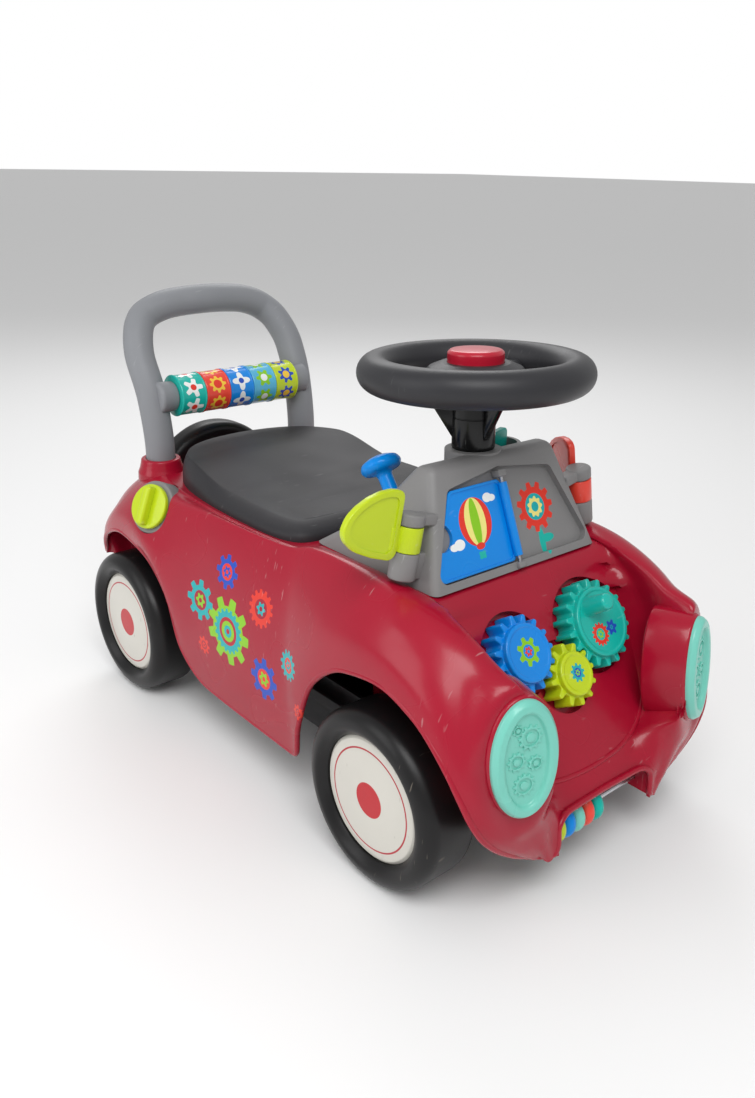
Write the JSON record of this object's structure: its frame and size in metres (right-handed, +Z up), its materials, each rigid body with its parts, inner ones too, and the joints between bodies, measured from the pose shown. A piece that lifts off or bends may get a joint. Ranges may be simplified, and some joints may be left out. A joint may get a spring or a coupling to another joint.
{
  "type": "toddler ride-on car",
  "caption": "Low ride-on car for a toddler: moulded body on wheels, push handle at the rear, lift-up seat over a storage bin, and turning, sliding and pressing play pieces.",
  "frame": {"origin": "on the ground under the middle of the car, halfway along its length and width", "axes": "+Z up; the front of the car faces -Y; the car's left side is +X"},
  "size_m": [0.3459, 0.6503, 0.4309],
  "materials": {
    "crimson": "glossy",
    "grey": "satin, fine grain",
    "charcoal": "matt, fine grain",
    "black": "satin",
    "cream": "satin",
    "lime": "glossy",
    "blue": "glossy",
    "teal": "glossy",
    "mint": "glossy",
    "sky": "glossy",
    "coral": "glossy",
    "steel": "bright"
  },
  "bodies": {
    "car": {"body_shell": "crimson", "chassis": "black", "storage_bin": "black", "front_axle": "steel", "rear_axle": "steel", "push_nut_front_left": "steel", "push_nut_front_right": "steel", "push_nut_rear_left": "steel", "push_nut_rear_right": "steel", "body_screw_1": "steel", "body_screw_2": "steel", "body_screw_3": "steel", "body_screw_4": "steel", "cowl": "grey", "door_pin": "steel", "mirror_left_pin": "steel", "mirror_right_pin": "steel", "lever_pin": "steel", "headlight_left": "mint", "headlight_right": "mint", "bead_bar": "steel", "push_handle": "grey", "roller_rod": "steel", "dial_base": "grey", "seat_pin": "steel", "spare_tyre": "black", "spare_hub": "cream"},
    "steering": {"steering_column": "black", "steering_wheel": "charcoal", "column_clip": "steel", "horn_spring": "steel"},
    "horn": {"horn_button": "crimson"},
    "door": {"peekaboo_door": "blue"},
    "right_mirror": {"mirror_right": "lime"},
    "left_mirror": {"mirror_left": "coral"},
    "lever": {"shift_lever": "blue"},
    "key": {"ignition_key": "teal"},
    "blue_gear": {"gear_blue": "blue"},
    "lime_gear": {"gear_lime": "lime"},
    "teal_gear": {"gear_teal": "teal"},
    "dial": {"fuel_dial": "lime"},
    "seat_lid": {"seat": "charcoal"},
    "front_left_wheel": {"wheel_front_left": "black", "hubcap_front_left": "cream"},
    "front_right_wheel": {"wheel_front_right": "black", "hubcap_front_right": "cream"},
    "rear_left_wheel": {"wheel_rear_left": "black", "hubcap_rear_left": "cream"},
    "rear_right_wheel": {"wheel_rear_right": "black", "hubcap_rear_right": "cream"},
    "bead_1_body": {"bead_1": "lime"},
    "roller_1_body": {"roller_1": "teal"},
    "bead_2_body": {"bead_2": "blue"},
    "roller_2_body": {"roller_2": "coral"},
    "bead_3_body": {"bead_3": "mint"},
    "roller_3_body": {"roller_3": "blue"},
    "bead_4_body": {"bead_4": "coral"},
    "roller_4_body": {"roller_4": "sky"},
    "bead_5_body": {"bead_5": "teal"},
    "roller_5_body": {"roller_5": "lime"}
  },
  "joints": [
    {"name": "front_left_wheel_spin", "type": "hinge", "parent": "car", "child": "front_left_wheel", "pos_m": [0.1425, -0.1975, 0.079], "axis": [1, 0, 0], "continuous": true},
    {"name": "front_right_wheel_spin", "type": "hinge", "parent": "car", "child": "front_right_wheel", "pos_m": [-0.1425, -0.1975, 0.079], "axis": [1, 0, 0], "continuous": true},
    {"name": "rear_left_wheel_spin", "type": "hinge", "parent": "car", "child": "rear_left_wheel", "pos_m": [0.1425, 0.2265, 0.079], "axis": [1, 0, 0], "continuous": true},
    {"name": "rear_right_wheel_spin", "type": "hinge", "parent": "car", "child": "rear_right_wheel", "pos_m": [-0.1425, 0.2265, 0.079], "axis": [1, 0, 0], "continuous": true},
    {"name": "steering_turn", "type": "hinge", "parent": "car", "child": "steering", "pos_m": [0, -0.1355, 0.337], "axis": [0, 0.0349, 0.9994], "continuous": true},
    {"name": "horn_press", "type": "slide", "parent": "steering", "child": "horn", "axis": [0, -0.0349, -0.9994], "range_m": [0, 0.003], "stiffness_N_per_m": 400, "springref_m": -0.005, "deforming": ["horn_spring"]},
    {"name": "door_hinge", "type": "hinge", "parent": "car", "child": "door", "pos_m": [0, -0.18401, 0.2849], "axis": [0, 0.3843, 0.9232], "range_deg": [0, 170]},
    {"name": "right_mirror_turn", "type": "hinge", "parent": "car", "child": "right_mirror", "pos_m": [-0.1135, -0.172, 0.255], "axis": [0.1909, 0.0091, 0.9816], "range_deg": [-75, 45]},
    {"name": "left_mirror_turn", "type": "hinge", "parent": "car", "child": "left_mirror", "pos_m": [0.1135, -0.172, 0.255], "axis": [-0.1909, 0.0091, 0.9816], "range_deg": [-107, 13]},
    {"name": "shift_lever_tilt", "type": "hinge", "parent": "car", "child": "lever", "pos_m": [-0.068, -0.122, 0.281], "axis": [1, 0, 0], "range_deg": [-16, 16]},
    {"name": "key_turn", "type": "hinge", "parent": "car", "child": "key", "pos_m": [0.046, -0.122, 0.316], "axis": [0, 0, 1], "range_deg": [-65, 25]},
    {"name": "teal_gear_spin", "type": "hinge", "parent": "car", "child": "teal_gear", "pos_m": [0.0555, -0.23594, 0.18773], "axis": [0, -0.8462, 0.5329], "continuous": true},
    {"name": "lime_gear_spin", "type": "hinge", "parent": "car", "child": "lime_gear", "pos_m": [0.0039, -0.25287, 0.16084], "axis": [0, -0.8462, 0.5329], "continuous": true},
    {"name": "blue_gear_spin", "type": "hinge", "parent": "car", "child": "blue_gear", "pos_m": [-0.0405, -0.23594, 0.18773], "axis": [0, -0.8462, 0.5329], "continuous": true},
    {"name": "fuel_dial_turn", "type": "hinge", "parent": "car", "child": "dial", "pos_m": [-0.1445, 0.179, 0.224], "axis": [-0.8712, -0.2498, 0.4226], "range_deg": [-90, 90]},
    {"name": "seat_hinge", "type": "hinge", "parent": "car", "child": "seat_lid", "pos_m": [0, 0.249, 0.2441], "axis": [-1, 0, 0], "range_deg": [0, 42]},
    {"name": "bead_1_slide", "type": "slide", "parent": "car", "child": "bead_1_body", "axis": [1, 0, 0], "range_m": [-0.006, 0.0565]},
    {"name": "bead_2_slide", "type": "slide", "parent": "car", "child": "bead_2_body", "axis": [1, 0, 0], "range_m": [-0.006, 0.0565]},
    {"name": "bead_3_slide", "type": "slide", "parent": "car", "child": "bead_3_body", "axis": [1, 0, 0], "range_m": [-0.006, 0.0565]},
    {"name": "bead_4_slide", "type": "slide", "parent": "car", "child": "bead_4_body", "axis": [1, 0, 0], "range_m": [-0.006, 0.0565]},
    {"name": "bead_5_slide", "type": "slide", "parent": "car", "child": "bead_5_body", "axis": [1, 0, 0], "range_m": [-0.006, 0.0565]},
    {"name": "roller_1_spin", "type": "hinge", "parent": "car", "child": "roller_1_body", "pos_m": [-0.062, 0.2515, 0.321], "axis": [1, 0, 0], "continuous": true},
    {"name": "roller_2_spin", "type": "hinge", "parent": "car", "child": "roller_2_body", "pos_m": [-0.031, 0.2515, 0.321], "axis": [1, 0, 0], "continuous": true},
    {"name": "roller_3_spin", "type": "hinge", "parent": "car", "child": "roller_3_body", "pos_m": [0, 0.2515, 0.321], "axis": [1, 0, 0], "continuous": true},
    {"name": "roller_4_spin", "type": "hinge", "parent": "car", "child": "roller_4_body", "pos_m": [0.031, 0.2515, 0.321], "axis": [1, 0, 0], "continuous": true},
    {"name": "roller_5_spin", "type": "hinge", "parent": "car", "child": "roller_5_body", "pos_m": [0.062, 0.2515, 0.321], "axis": [1, 0, 0], "continuous": true}
  ],
  "couplings": [
    {"joint": "lime_gear_spin", "follows": "teal_gear_spin", "ratio": -1.5},
    {"joint": "blue_gear_spin", "follows": "teal_gear_spin", "ratio": 1.2},
    {"joint": "bead_1_slide", "follows": "bead_5_slide", "ratio": 1},
    {"joint": "bead_2_slide", "follows": "bead_5_slide", "ratio": 1},
    {"joint": "bead_3_slide", "follows": "bead_5_slide", "ratio": 1},
    {"joint": "bead_4_slide", "follows": "bead_5_slide", "ratio": 1}
  ]
}
